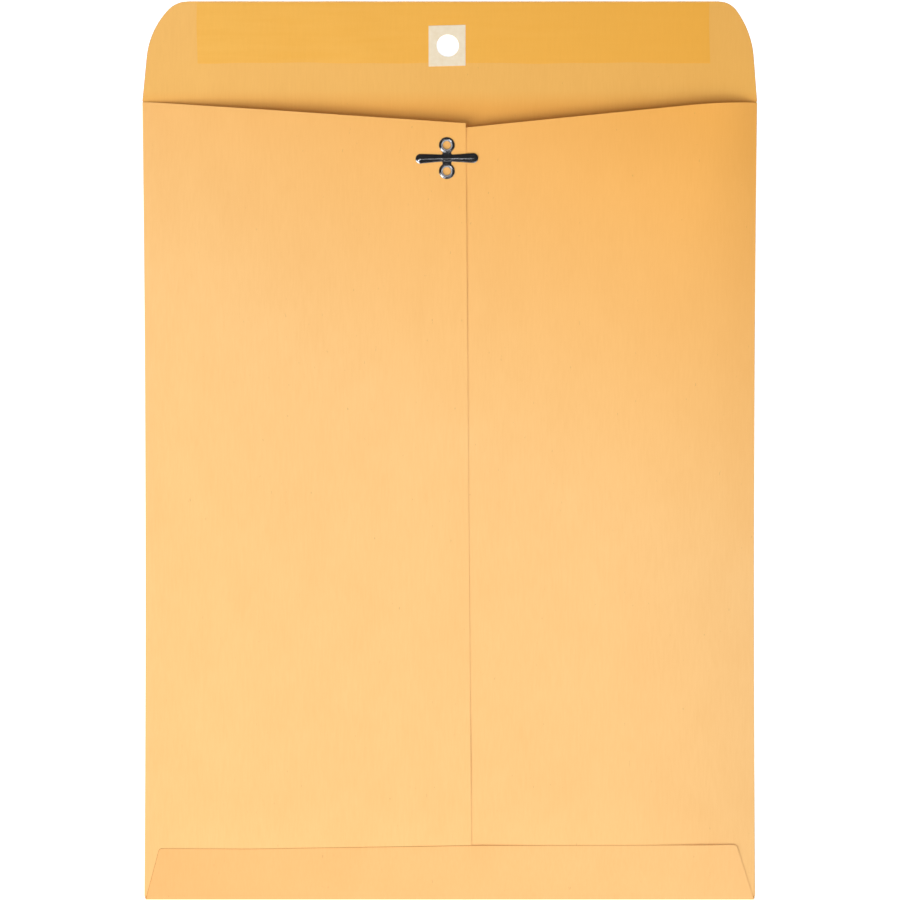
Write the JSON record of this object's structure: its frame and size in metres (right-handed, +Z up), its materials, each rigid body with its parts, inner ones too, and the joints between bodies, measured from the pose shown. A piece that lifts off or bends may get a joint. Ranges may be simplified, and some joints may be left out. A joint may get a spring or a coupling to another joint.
{
  "type": "clasp envelope",
  "caption": "Large kraft paper envelope, back up, with an open gummed seal flap, a reinforced round hole in the flap and a stamped metal clasp with bendable prongs.",
  "frame": {"origin": "middle of the footprint of the open envelope, on the surface that it lies on", "axes": "+X across the envelope, towards the right side as seen with the clasp up; +Y from the bottom fold to the seal flap's tip; +Z up, out of the back with the clasp"},
  "size_m": [0.254, 0.3712, 0.0061],
  "materials": {
    "kraft_paper": "matte",
    "dried_gum": "satin",
    "patch_card": "matte",
    "seam_glue": "matte",
    "clasp_metal": "polished"
  },
  "bodies": {
    "pocket": {"front_panel": "kraft_paper", "left_back_panel": "kraft_paper", "right_back_panel": "kraft_paper", "bottom_flap": "kraft_paper", "centre_seam_glue": "seam_glue", "bottom_seam_glue": "seam_glue", "clasp_base": "clasp_metal"},
    "flap": {"seal_flap": "kraft_paper", "gum_strip": "dried_gum", "hole_patch": "patch_card"},
    "left_prong": {"left_prong": "clasp_metal"},
    "right_prong": {"right_prong": "clasp_metal"}
  },
  "joints": [
    {"name": "flap_fold", "type": "hinge", "parent": "pocket", "child": "flap", "pos_m": [0, 0.1446, 0.0026], "axis": [1, 0, 0], "range_deg": [0, 176]},
    {"name": "left_prong_bend", "type": "hinge", "parent": "pocket", "child": "left_prong", "pos_m": [-0.0033, 0.1205, 0.00547], "axis": [0, 1, 0], "range_deg": [0, 90]},
    {"name": "right_prong_bend", "type": "hinge", "parent": "pocket", "child": "right_prong", "pos_m": [0.0009, 0.1205, 0.00547], "axis": [0, -1, 0], "range_deg": [0, 90]}
  ]
}
